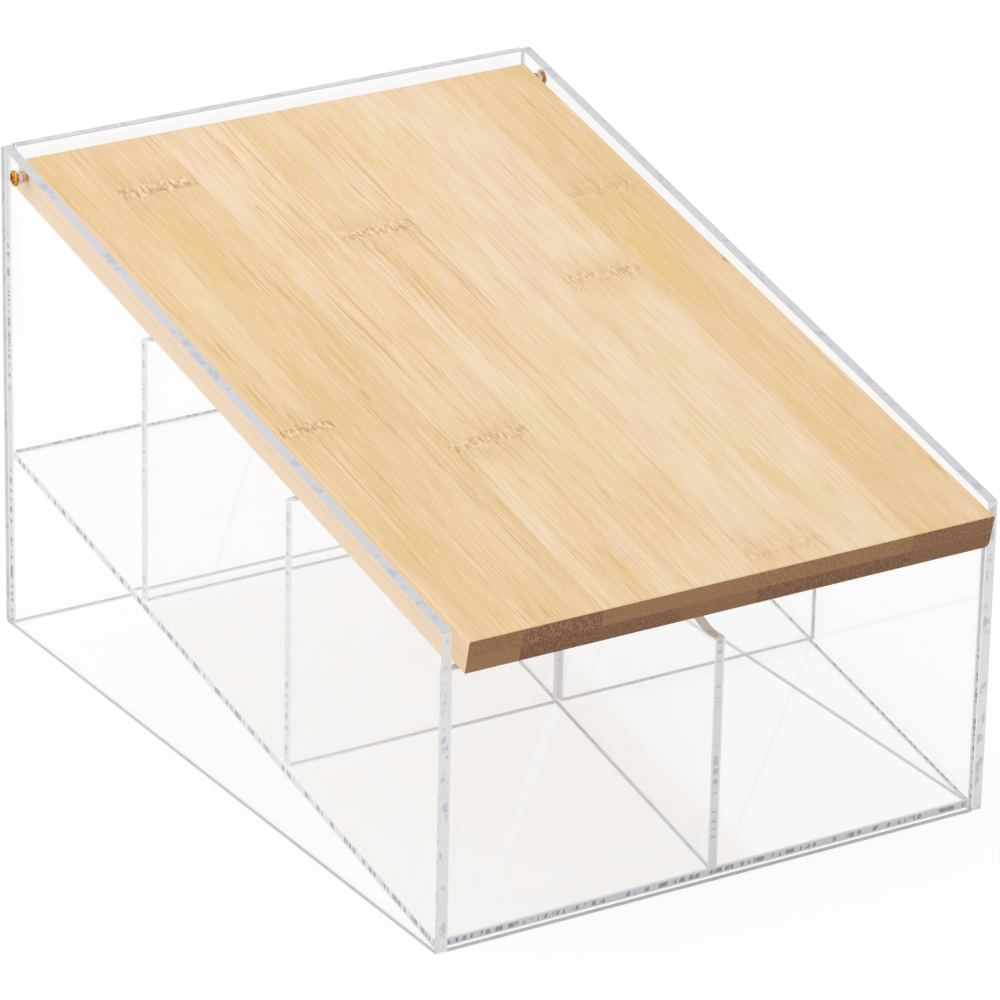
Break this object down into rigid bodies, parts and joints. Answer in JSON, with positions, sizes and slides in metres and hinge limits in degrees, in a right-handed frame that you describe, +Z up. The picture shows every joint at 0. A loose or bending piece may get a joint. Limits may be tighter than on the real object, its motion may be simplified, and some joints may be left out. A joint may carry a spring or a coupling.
{
  "type": "tea bag organizer box",
  "caption": "Clear box on a sloped floor, parted into bays for wrapped tea bags, under a sloping wooden lid board that swings up and back on side hinge screws.",
  "frame": {"origin": "bottom centre of the closed box's bounding box, lid and screw heads included, at the level it stands on", "axes": "+Z up; +X to the box's right as seen from the front; +Y from the low front with the lid's free edge to the high rear with the hinge"},
  "size_m": [0.1728, 0.2394, 0.143],
  "materials": {
    "acrylic": "clear, polished faces, sawn edges",
    "bamboo": "satin laminated bamboo",
    "brass": "polished"
  },
  "bodies": {
    "box": {"left_side_panel": "acrylic", "right_side_panel": "acrylic", "rear_panel": "acrylic", "front_panel": "acrylic", "sloped_floor": "acrylic", "front_cross_divider": "acrylic", "rear_cross_divider": "acrylic", "centre_divider": "acrylic"},
    "lid": {"lid_top_ply": "bamboo", "lid_bottom_ply": "bamboo", "left_hinge_screw": "brass", "right_hinge_screw": "brass"}
  },
  "joints": [
    {"name": "lid_hinge", "type": "hinge", "parent": "box", "child": "lid", "pos_m": [0, 0.11075, 0.1363], "axis": [-1, 0, 0], "range_deg": [0, 122]}
  ]
}
